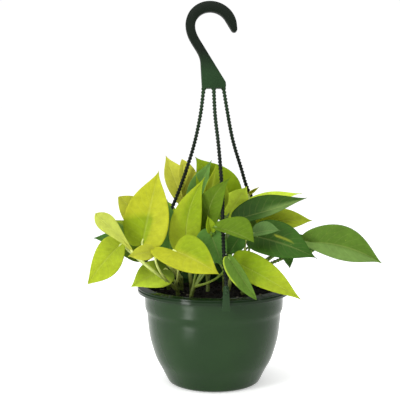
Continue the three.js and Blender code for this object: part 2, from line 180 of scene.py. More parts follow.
def tube(bm, curve, radius, sides, steps, section=None):
    """A tube with open ends along a curve. radius(t) is in mm, and section(angle, length) shapes its ring."""
    points = [curve(i / steps) for i in range(steps + 1)]
    ahead = (points[1] - points[0]).normalized()
    side = ahead.orthogonal().normalized()
    frames = []
    travelled = 0
    for i, point in enumerate(points):
        new_ahead = (points[min(i + 1, steps)] - points[max(i - 1, 0)]).normalized()
        side = (ahead.rotation_difference(new_ahead) @ side).normalized()
        ahead = new_ahead
        travelled += (point - points[max(i - 1, 0)]).length
        frames.append((point, side.copy(), ahead.cross(side), travelled))

    def place(u, v):
        row = round(v * steps)
        point, across, up, length = frames[row]
        angle = 2 * math.pi * u
        reach = radius(row / steps) * (section(angle, length) if section else 1)
        return (point + (across * math.cos(angle) + up * math.sin(angle)) * reach) * MM

    verts = bent_grid(bm, sides, steps, place)
    seam = [v for v in verts if v.is_boundary]
    bmesh.ops.remove_doubles(bm, verts=seam, dist=1e-7)
    return [v for v in verts if v.is_valid]


def close_ends(bm):
    """Fills the open ring at each end of the tubes, so that every strand and stalk is a closed solid."""
    bmesh.ops.holes_fill(bm, edges=[e for e in bm.edges if e.is_boundary], sides=0)


def piece(bm, name, materials, body="root"):
    """Turns a bmesh into an object at the origin that rides on a body of the frame."""
    bmesh.ops.recalc_face_normals(bm, faces=bm.faces)
    for face in bm.faces:
        face.smooth = True
    mesh = bpy.data.meshes.new(name)
    bm.to_mesh(mesh)
    bm.free()
    for material in materials:
        mesh.materials.append(material)
    made = bpy.data.objects.new(name, mesh)
    bpy.context.scene.collection.objects.link(made)
    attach(made, body)
    print(name, "faces:", len(mesh.polygons))
    return made


print("helpers ready")

# %% [markdown]
# ## Moulded green plastic
#
# The pot is injection-moulded polypropylene: dark bottle green, satin, with a soft sheen. A real moulding is
# never even: its colour is a little cloudy, and its surface undulates, which breaks up the highlights. One
# noise mixes two close greens, and a second one bends the surface. The lip, the hook's arc and the lower
# strands look darker than the rest, so a finish may fade to a painted shade, another colour and roughness,
# below and above given heights. The shine is the same all over, so it is set on the shader's own socket.

# %% Pot plastic
PLASTIC_IOR = 1.49
RIPPLE_HEIGHT = 0.4


def moulded_plastic(name, dark, light, roughness, shine, shade_band=None):
    """The last argument is a painted shade: a colour, a roughness and four heights in mm, faded to below and
    above.
    """
    made = Finish(name)
    colour = made.mix(made.remap(made.noise(14, 4), 0.3, 0.7), linear(dark), linear(light))
    shader = made.add("BsdfPrincipled", Normal=made.bump(made.noise(30, 2), RIPPLE_HEIGHT * MM))
    shader.inputs["IOR"].default_value = PLASTIC_IOR
    shader.inputs["Specular IOR Level"].default_value = shine
    shader.inputs["Roughness"].default_value = roughness
    if shade_band:
        shade_colour, band_roughness, heights = shade_band
        low, low_end, high, high_end = [h * MM for h in heights]
        z = made.add("SeparateXYZ", Vector=made.coordinates()).outputs[2]
        # fresh is 1 between the heights, and the painted shade takes over where it falls to 0.
        fresh = made.math("MULTIPLY", made.remap(z, low, low_end), made.remap(z, high, high_end, 1.0, 0.0))
        colour = made.mix(fresh, linear(shade_colour), colour)
        made.plug(shader, "Roughness", made.remap(fresh, 0.0, 1.0, band_roughness, roughness))
    made.plug(shader, "Base_Color", colour)
    return made.finish(shader.outputs[0])


# The pot's lip is painted darker above 122 mm: a painted shade.
pot_plastic = moulded_plastic("pot_plastic", "182d15", "1e3519", 0.25, 0.14,
                              ("12240f", 0.12, (-20, -10, 122.2, 123.2)))
clip_plastic = moulded_plastic("clip_plastic", "182d15", "1e3519", 0.25, 0.14)
print("made", pot_plastic.name, "and", clip_plastic.name)

# %% [markdown]
# ## The pot
#
# The pot is a surface of revolution, so its wall's section is drawn once and spun. The section goes up the
# outside, over the turned-down lip with its groove and bead, and down the inside. The crisp corners are
# bevelled after the spin, because a bevel works on the whole ring at once. The drain holes are cut with a
# Boolean modifier, since they don't follow the rings.

# %% Pot section
RIM_RADIUS = 102.5
RIM_TOP = 131
LIP_HEIGHT = 8
COLLAR_RADIUS = 92.6
COLLAR_FOOT = 100.5
BASE_RADIUS = 54.2
WALL = 2
FLOOR_THICKNESS = 2.6
BELLY = [(62.4, 4.5), (70, 19.8), (76.7, 32.1), (82.5, 48.6), (86.4, 65), (88.4, 82), (89.5, COLLAR_FOOT - 6)]
BELLY_POINTS = 18
SPIN_STEPS = 144

belly_curve = spline([(r, 0, z) for r, z in BELLY])
belly = [belly_curve(i / BELLY_POINTS) for i in range(BELLY_POINTS + 1)]
lip_foot = RIM_TOP - LIP_HEIGHT
base_edge = [
    (0, 0), (BASE_RADIUS - 5, 0), (BASE_RADIUS, 0), (BASE_RADIUS + 2.4, 0.3), (BASE_RADIUS + 4.9, 1.1),
    (BASE_RADIUS + 7, 2.6)]
collar = [
    (COLLAR_RADIUS - 2.5, COLLAR_FOOT - 4.2), (COLLAR_RADIUS - 1.5, COLLAR_FOOT - 1.8),
    (COLLAR_RADIUS - 0.7, COLLAR_FOOT + 0.4), (COLLAR_RADIUS - 0.35, COLLAR_FOOT + 3),
    (COLLAR_RADIUS - 0.1, COLLAR_FOOT + 12), (COLLAR_RADIUS, RIM_TOP - 5.5)]
lip = [
    (COLLAR_RADIUS + 1, RIM_TOP - 4), (RIM_RADIUS - 3, RIM_TOP - 3.6), (RIM_RADIUS - 2.4, lip_foot),
    (RIM_RADIUS - 0.7, lip_foot), (RIM_RADIUS - 0.2, lip_foot + 1), (RIM_RADIUS - 0.5, lip_foot + 2.2),
    (RIM_RADIUS - 0.1, RIM_TOP - 4.6), (RIM_RADIUS - 0.1, RIM_TOP - 3.8)]
bead = [
    (RIM_RADIUS - 1.3, RIM_TOP - 2.9), (RIM_RADIUS - 1.3, RIM_TOP - 2.1), (RIM_RADIUS - 0.9, RIM_TOP - 1.4),
    (RIM_RADIUS - 1.5, RIM_TOP - 1), (COLLAR_RADIUS + 0.9, RIM_TOP - 0.25)]
outside = base_edge + [(p.x, p.z) for p in belly] + collar + lip + bead
inside = [(COLLAR_RADIUS + 0.3, RIM_TOP), (COLLAR_RADIUS - 1.4, RIM_TOP),
          (COLLAR_RADIUS - WALL - 0.4, RIM_TOP - 0.8), (COLLAR_RADIUS - WALL, RIM_TOP - 3),
          (COLLAR_RADIUS - WALL - 0.2, COLLAR_FOOT + 1)]
inside += [(p.x - WALL, max(p.z, FLOOR_THICKNESS + 1)) for p in reversed(belly)]
inside += [(BASE_RADIUS - 1, FLOOR_THICKNESS), (0, FLOOR_THICKNESS)]
CRISP = {(BASE_RADIUS, 0), (RIM_RADIUS - 2.4, lip_foot), (RIM_RADIUS - 0.7, lip_foot),
         (COLLAR_RADIUS - 1.4, RIM_TOP), (COLLAR_RADIUS - WALL - 0.4, RIM_TOP - 0.8)}
print("section points:", len(outside) + len(inside))


# %% Spin and bevel the pot
def spun(section, crisp=(), rounding=0.35):
    """A closed solid of revolution about Z from its section, with the crisp rings rounded over."""
    bm = bmesh.new()
    verts = [bm.verts.new((r * MM, 0, z * MM)) for r, z in section]
    edges = [bm.edges.new(pair) for pair in zip(verts, verts[1:])]
    bmesh.ops.spin(bm, geom=verts + edges, cent=(0, 0, 0), axis=(0, 0, 1), angle=2 * math.pi,
                   steps=SPIN_STEPS, use_merge=True)
    bmesh.ops.remove_doubles(bm, verts=bm.verts, dist=1e-6)
    corners = [(r * MM, z * MM) for r, z in crisp]

    def is_crisp(edge):
        return any(all(abs(v.co.xy.length - r) < 1e-5 and abs(v.co.z - z) < 1e-5 for v in edge.verts)
                   for r, z in corners)

    rings = [e for e in bm.edges if is_crisp(e)]
    if rings:
        bmesh.ops.bevel(bm, geom=rings, offset=rounding * MM, segments=3, profile=0.5, affect="EDGES",
                        material=-1)
    return bm


def cut_away(target, cutter):
    """Applies a Boolean difference and removes the cutter."""
    modifier = target.modifiers.new("cut", "BOOLEAN")
    modifier.object = cutter
    modifier.solver = "EXACT"
    bpy.context.view_layer.update()
    evaluated = target.evaluated_get(bpy.context.evaluated_depsgraph_get())
    mesh = bpy.data.meshes.new_from_object(evaluated)
    target.modifiers.clear()
    old = target.data
    target.data = mesh
    bpy.data.meshes.remove(old)
    bpy.data.objects.remove(cutter)


DRAIN_HOLES = 5
DRAIN_RADIUS = 3.5
DRAIN_CIRCLE = 36
pot = piece(spun(outside + inside, CRISP), "pot_shell", [pot_plastic])
drill = bmesh.new()
for i in range(DRAIN_HOLES):
    turn = 2 * math.pi * i / DRAIN_HOLES
    place = Vector((DRAIN_CIRCLE * math.sin(turn), -DRAIN_CIRCLE * math.cos(turn), 0)) * MM
    bmesh.ops.create_cone(drill, cap_ends=True, segments=20, radius1=DRAIN_RADIUS * MM,
                          radius2=DRAIN_RADIUS * MM, depth=20 * MM, matrix=Matrix.Translation(place))
drill_mesh = bpy.data.meshes.new("drill")
drill.to_mesh(drill_mesh)
drill.free()
cutter = bpy.data.objects.new("drill", drill_mesh)
bpy.context.scene.collection.objects.link(cutter)
cut_away(pot, cutter)
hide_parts("pot")
print("pot faces with drain holes:", len(pot.data.polygons))

# %% [markdown]
# ## Potting soil
#
# Potting mix is peat and composted bark: nearly black when moist, loose and lumpy, with chips and a few
# pale grains. A spun filling gives the body. Its top is finely divided and pushed about by noise, and some
# six hundred loose crumbs, each only a crushed icosphere, lie on it.

# %% Soil finish
def crumbly(name, dark, light, scale):
    made = Finish(name)
    grain = made.noise(scale, 6, 0.65)
    colour = made.mix(made.remap(grain, 0.35, 0.75), linear(dark), linear(light))
    shader = made.add("BsdfPrincipled", Base_Color=colour, Normal=made.bump(grain, 0.0012))
    shader.inputs["Roughness"].default_value = 0.95
    shader.inputs["Specular IOR Level"].default_value = 0.08
    return made.finish(shader.outputs[0])


soil_peat = crumbly("soil_peat", "050504", "17140f", 260)
soil_bark = crumbly("soil_bark", "0d0a07", "2b2118", 400)
soil_grain = crumbly("soil_grain", "46423a", "77725f", 600)
print("soil finishes: 3")

# %% Soil filling and crumbs
SOIL_TOP = 118
SOIL_CROWN = 1.5
SOIL_EDGE_DIP = 0.9
SOIL_LUMPS = [(1.7, 11, 0), (0.9, 3.6, 9)]
CLEARANCE = 0.3
SOIL_RINGS = 46
CRUMBS = 620
CRUMB_SIZES = (0.9, 1.2, 1.6, 2.3)
CRUMB_SHARES = (70, 27, 3)
rng = random.Random(7)

gap = WALL + CLEARANCE
soil_edge = COLLAR_RADIUS - 0.2 - gap
soil_side = [(0, FLOOR_THICKNESS + CLEARANCE), (BASE_RADIUS - 1.4, FLOOR_THICKNESS + CLEARANCE)]
soil_side += [(p.x - gap, max(p.z, FLOOR_THICKNESS + 1 + CLEARANCE)) for p in belly]
soil_side += [(soil_edge - 0.2, COLLAR_FOOT + 1.6), (soil_edge, SOIL_TOP - 1.5)]


def soil_height(x, y):
    """The soil's height in mm: a low crown that dips at the wall, with large lumps and small ones on it."""
    reach = math.hypot(x, y) / soil_edge
    crown = SOIL_CROWN * (1 - reach ** 2) - SOIL_EDGE_DIP * reach ** 8
    lumps = sum(height * noise.noise(Vector((x, y, layer)) / size) for height, size, layer in SOIL_LUMPS)
    return SOIL_TOP + crown + (lumps - 0.4) * min(1, (1 - reach) * 9)


soil_side += [(soil_edge * (1 - i / SOIL_RINGS), SOIL_TOP) for i in range(1, SOIL_RINGS)] + [(0, SOIL_TOP)]
soil_mesh = spun(soil_side)
for vert in soil_mesh.verts:
    if vert.co.z > (SOIL_TOP - 0.01) * MM:
        vert.co.z = soil_height(vert.co.x / MM, vert.co.y / MM) * MM
for i in range(CRUMBS):
    reach = (soil_edge - 3) * math.sqrt(rng.random())
    turn = rng.uniform(0, 2 * math.pi)
    size = rng.choice(CRUMB_SIZES)
    x, y = reach * math.cos(turn), reach * math.sin(turn)
    squash = Matrix.Diagonal((rng.uniform(0.6, 1.7), rng.uniform(0.6, 1.2), rng.uniform(0.35, 0.8), 1))
    spin = Matrix.Rotation(rng.uniform(0, 6), 4, "Z") @ Matrix.Rotation(rng.uniform(-0.5, 0.5), 4, "X")
    place = Matrix.Translation(Vector((x, y, soil_height(x, y) + 0.25 * size)) * MM)
    made = bmesh.ops.create_icosphere(soil_mesh, subdivisions=1, radius=size * MM,
                                      matrix=place @ spin @ squash)
    kind = rng.choices((0, 1, 2), CRUMB_SHARES)[0]
    for face in {f for v in made["verts"] for f in v.link_faces}:
        face.material_index = kind
soil = piece(soil_mesh, "soil_filling", [soil_peat, soil_bark, soil_grain])
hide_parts("soil")

# %% [markdown]
# ## The hanger
#
# The hanger is one moulding: a flat hook that widens into a plate, three strands moulded to look like
# twisted rope, and a clip at the foot of each strand. The hook is an outline that is filled, extruded and
# bevelled, then turned and leant back, because the slack strands push it. A strand is a tube whose section
# has two lobes that turn as it goes, which gives real rope relief and not only a bump.

# %% Hook
# The lower strands and the hook's arc are painted darker: a painted shade.
hanger_plastic = moulded_plastic("hanger_plastic", "162a15", "21371f", 0.4, 0.11,
                                 ("0c140c", 0.45, (305, 385, 412, 442)))
HOOK_THICKNESS = 6
HOOK_FOOT = 391.5
HOOK_YAW = math.radians(8)
HOOK_LEAN = math.radians(18)
HOOK_OUTER = 34.4
HOOK_INNER = 21.8
ARC_STEPS = 30


def arc(x, z, radius, start, end, steps=ARC_STEPS):
    """Points on an arc in the X-Z plane. The angles are in degrees, from +X towards +Z."""
    turns = [math.radians(start + (end - start) * i / steps) for i in range(steps + 1)]
    return [(x + radius * math.cos(a), z + radius * math.sin(a)) for a in turns]


def bezier(p0, p1, p2, p3, steps=14):
    """Points on a Bezier curve in the X-Z plane, without its two ends."""
    ts = [i / steps for i in range(1, steps)]
    return [tuple((1 - t) ** 3 * a + 3 * t * (1 - t) ** 2 * b + 3 * t * t * (1 - t) * c + t ** 3 * d
                  for a, b, c, d in zip(p0, p1, p2, p3)) for t in ts]


hook_outline = [(-16.2, HOOK_FOOT), (-16.6, 428)]
hook_outline += bezier((-16.6, 428), (-17.4, 445), (-34.2, 455), (-34.2, 479))
hook_outline += arc(0.2, 479, HOOK_OUTER, 180, 0)
hook_outline += arc(30.7, 474, 4.1, 0, -149, 10)
hook_outline += arc(0, 476.5, HOOK_INNER, 31, 180)
hook_outline += bezier((-HOOK_INNER, 476.5), (-HOOK_INNER, 470), (-19.4, 464), (-16.5, 458.7), 6)
hook_outline += [(-16.5, 458.7), (15.4, 400), (15.7, 395.5), (15, HOOK_FOOT)]

hook_mesh = bmesh.new()
corners = [hook_mesh.verts.new((x * MM, HOOK_THICKNESS / 2 * MM, z * MM)) for x, z in hook_outline]
bmesh.ops.remove_doubles(hook_mesh, verts=corners, dist=0.4 * MM)
plate = hook_mesh.faces.new([v for v in corners if v.is_valid])
grown = bmesh.ops.extrude_face_region(hook_mesh, geom=[plate])["geom"]
bmesh.ops.translate(hook_mesh, vec=(0, -HOOK_THICKNESS * MM, 0),
                    verts=[g for g in grown if isinstance(g, bmesh.types.BMVert)])
rims = [e for e in hook_mesh.edges if abs(e.verts[0].co.y - e.verts[1].co.y) < 1e-6]
bmesh.ops.bevel(hook_mesh, geom=rims, offset=0.9 * MM, segments=3, profile=0.5, affect="EDGES", material=-1)
bmesh.ops.triangulate(hook_mesh, faces=[f for f in hook_mesh.faces if len(f.verts) > 4])
bmesh.ops.rotate(hook_mesh, cent=(0, 0, HOOK_FOOT * MM), verts=hook_mesh.verts,
                 matrix=Matrix.Rotation(HOOK_YAW, 3, "Z") @ Matrix.Rotation(-HOOK_LEAN, 3, "X"))
print("hook outline points:", len(hook_outline))

# %% Strands and clips
STRAND_RADIUS = 2.4
ROPE_SWELL = 1.18
ROOT_SWELL = 0.3
TWIST_PITCH = 9
LOBES = 2
LOBE_HEIGHT = 0.22
STRAND_STEPS = 560
STRAND_SIDES = 14
CLIP_TOP_WIDTH = 7
CLIP_FOOT_WIDTH = 10.6
CLIP_TOP = 148
CLIP_FOOT = 117
CLIP_THICKNESS = 2.2
TONGUE_REACH = 8
TONGUE_THICKNESS = 1.6
CATCH_REACH = 2
CATCH_THICKNESS = 1.4
STRANDS = [
    (-111, [(-13.4, -1.1, 394), (-18, 3, 357), (-26, 9, 319), (-40, 16, 274), (-52, 20, 242), (-68, 27, 205),
            (-85, 34, 168)]),
    (7.5, [(-0.8, 0.7, 394), (1, -10, 357), (5, -22, 321), (8, -34, 286), (10, -46, 255), (10, -61, 223),
           (11, -82, 189)]),
    (129, [(12, 2.5, 394), (16, 4, 370), (25, 14, 324), (36, 24, 288), (49, 34, 250), (78, 47, 208),
           (103, 57, 172), (95, 65, 155)]),
]


def rope(angle, length):
    """The section's outline: lobes that turn along the strand."""
    return 1 - LOBE_HEIGHT + LOBE_HEIGHT * math.cos(LOBES * (angle + 2 * math.pi * length / TWIST_PITCH))


def strand_radius(t):
    """The outer radius over the lobes, which swells where the strand leaves the plate."""
    lead_in = max(0, 1 - t / 0.05)
    return STRAND_RADIUS * (ROPE_SWELL + ROOT_SWELL * lead_in ** 2)


def clip(bm, bearing):
    """A clip's section, drawn round the lip, then extruded to its width and bevelled. Its foot is wider."""
    face = RIM_RADIUS + CLEARANCE + 0.2
    back = face + CLIP_THICKNESS
    seat = RIM_TOP + CLEARANCE
    foot = lip_foot - CLEARANCE
    tongue_end = RIM_RADIUS - TONGUE_REACH
    catch_end = RIM_RADIUS - CATCH_REACH
    section = [
        (back, CLIP_FOOT), (back, CLIP_TOP - 2), (back - 0.7, CLIP_TOP), (face + 0.2, CLIP_TOP),
        (face - 0.2, seat + 2), (tongue_end, seat + TONGUE_THICKNESS), (tongue_end, seat), (face, seat),
        (face, foot), (catch_end, foot), (catch_end, foot - CATCH_THICKNESS), (face + 0.6, CLIP_FOOT)]
    verts = [bm.verts.new(Vector((-0.5, -r * MM, z * MM))) for r, z in section]
    side = bm.faces.new(verts)
    grown = bmesh.ops.extrude_face_region(bm, geom=[side])["geom"]
    moved = [g for g in grown if isinstance(g, bmesh.types.BMVert)]
    bmesh.ops.translate(bm, vec=(1, 0, 0), verts=moved)
    for vert in verts + moved:
        drop = (CLIP_TOP - vert.co.z / MM) / (CLIP_TOP - CLIP_FOOT)
        vert.co.x *= (CLIP_TOP_WIDTH + (CLIP_FOOT_WIDTH - CLIP_TOP_WIDTH) * drop) * MM
    bmesh.ops.rotate(bm, cent=(0, 0, 0), matrix=Matrix.Rotation(math.radians(bearing), 3, "Z"),
                     verts=verts + moved)
    edges = {e for v in verts + moved for e in v.link_edges}
    bmesh.ops.bevel(bm, geom=list(edges), offset=0.4 * MM, segments=2, profile=0.5, affect="EDGES",
                    material=-1)


for bearing, through in STRANDS:
    turn = math.radians(bearing)
    reach = RIM_RADIUS + CLEARANCE + 0.2 + CLIP_THICKNESS / 2
    foot = (reach * math.sin(turn), -reach * math.cos(turn))
    path = spline([*through, (*foot, CLIP_TOP - 1), (*foot, CLIP_TOP - 10)])
    tube(hook_mesh, path, strand_radius, STRAND_SIDES, STRAND_STEPS, rope)
    clip(hook_mesh, bearing)
close_ends(hook_mesh)
for face in hook_mesh.faces:
    face.material_index = 1 if face.calc_center_median().z < (CLIP_TOP + 1) * MM else 0
hanger = piece(hook_mesh, "hanger_moulding", [hanger_plastic, clip_plastic])
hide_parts("hanger")

# %% [markdown]
# ## Leaf colours
#
# Neon pothos ranges from lemon in new leaves to lime, and the basket also holds plain green cuttings. Each
# leaf gets a named tone and may get marks: a paler half, a fleck, or a painted shade over its base or over
# the part that a leaf above or a fold keeps from the light. The colour is written on the mesh as an
# attribute, and the shader adds veins and mottling to it. That keeps one material for all leaves, and each
# leaf still has its own colour.

# %% Palette
# bright is lighter than a leaf's own colour, partly painted light for blades that lie in shade; shade and
# stalk_shade are painted shade for blades and stalks low under the others.
PALETTE = {
    "lemon": "a8b249", "pale": "bec243", "gold": "a7ad33", "neon": "a9af28", "chartreuse": "9bac25",
    "lime": "819b17", "bright": "bed53f", "mid": "5a7715", "leaf": "587829", "green": "3d6623",
    "deep": "315213", "blue": "578235", "sage": "527138", "fresh": "658e3f", "pale_grey_green": "718f49",
    "shade": "1e3c15", "stalk": "b9c56a", "stalk_shade": "7d8b3a", "stem": "5d6b2c",
}
print("tones:", ", ".join(PALETTE))


# %% Leaf finish
SIDE_VEINS = 15
VEIN_SLANT = 0.2
MIDRIB_PALENESS = 0.16
VEIN_PALENESS = 0.05
LIGHT_THROUGH = 0.3


def leaf_finish(name):
    """The leaf's own colour with mottling, a midrib, side veins and flecks, and light that shines through."""
    made = Finish(name)
    own = made.add("Attribute", {"attribute_name": "leaf_colour"})
    uv = made.add("SeparateXYZ", Vector=made.add("UVMap", {"uv_map": "leaf_map"}).outputs[0])
    across = made.math("ABSOLUTE", made.math("MULTIPLY_ADD", uv.outputs[0], 2.0, -1.0))
    along = uv.outputs[1]
    midrib = made.remap(across, 0.02, 0.075, 1.0, 0.0)
    branch = made.math("MULTIPLY_ADD", across, -VEIN_SLANT, along)
    wobble = made.math("MULTIPLY", made.noise(60, 2), 0.03)
    branch = made.math("ADD", branch, wobble)
    wave = made.math("SINE", made.math("MULTIPLY", branch, 2 * math.pi * SIDE_VEINS))
    vein = made.math("MULTIPLY", made.remap(wave, 0.72, 1.0), made.remap(across, 0.5, 1.0, 1.0, 0.15))
    mottle = made.remap(made.noise(160, 4, 0.6), 0.3, 0.7, 0.88, 1.1)
    cloud = made.remap(made.noise(38, 2), 0.3, 0.7, 0.93, 1.07)
    shade = made.math("MULTIPLY", mottle, cloud)
    shades = made.add("CombineXYZ", X=shade, Y=shade, Z=shade).outputs[0]
    base = made.mix(1.0, own.outputs["Color"], shades, "MULTIPLY")
    pale = made.mix(0.5, own.outputs["Color"], linear("dfe58c"))
    ribs = made.math("MAXIMUM", made.math("MULTIPLY", midrib, MIDRIB_PALENESS),
                     made.math("MULTIPLY", vein, VEIN_PALENESS))
    colour = made.mix(ribs, base, pale)
    fleck = made.math("MULTIPLY", made.remap(made.noise(210, 3, 0.7), 0.66, 0.72), own.outputs["Alpha"])
    colour = made.mix(fleck, colour, linear("c6cf55"))
    relief = made.math("ADD", made.math("MULTIPLY", midrib, -0.6), made.math("MULTIPLY", vein, -0.25))
    relief = made.math("ADD", relief, made.math("MULTIPLY", made.noise(420, 3), 0.25))
    normal = made.bump(relief, 0.0007, 0.8)
    skin = made.add("BsdfPrincipled", Base_Color=colour, Normal=normal)
    skin.inputs["Roughness"].default_value = 0.5
    skin.inputs["Specular IOR Level"].default_value = 0.07
    glow = made.mix(1.0, colour, linear("fff39a"), "MULTIPLY")
    through = made.add("BsdfTranslucent", Color=glow, Normal=normal)
    both = made.add("MixShader", _0=LIGHT_THROUGH, _1=skin.outputs[0], _2=through.outputs[0])
    return made.finish(both.outputs[0])


leaf_skin = leaf_finish("leaf_skin")
print("made", leaf_skin.name)


# %% Stalk finish
def stalk_finish(name):
    """A juicy stalk: the attribute's colour, streaked by fibres that run up it, with a little light in it."""
    made = Finish(name)
    own = made.add("Attribute", {"attribute_name": "leaf_colour"})
    fibre = made.noise(300, 3, vector=made.coordinates(scale=(1, 1, 0.12)))
    streak = made.remap(fibre, 0.3, 0.7, 0.85, 1.12)
    tint = made.add("CombineXYZ", X=streak, Y=streak, Z=streak).outputs[0]
    colour = made.mix(1.0, own.outputs["Color"], tint, "MULTIPLY")
    shader = made.add("BsdfPrincipled", Base_Color=colour, Normal=made.bump(fibre, 0.0003))
    shader.inputs["Roughness"].default_value = 0.45
    shader.inputs["Subsurface Weight"].default_value = 0.15
    shader.inputs["Subsurface Radius"].default_value = (0.002, 0.002, 0.0006)
    shader.inputs["Subsurface Scale"].default_value = 1
    return made.finish(shader.outputs[0])


stalk_skin = stalk_finish("stalk_skin")
print("made", stalk_skin.name)

# %% [markdown]
# ## Every leaf
#
# The table repeats the frame's leaves: where the petiole meets the blade, where the tip is, which way the
# upper face looks, the width and the bends. Here each leaf also has its tone and its marks. A mark is a
# tone, how strong it is, and the part of the blade that it covers: from t to t along the blade and from s
# to s across it, where s runs from -1 to 1, with a soft edge.

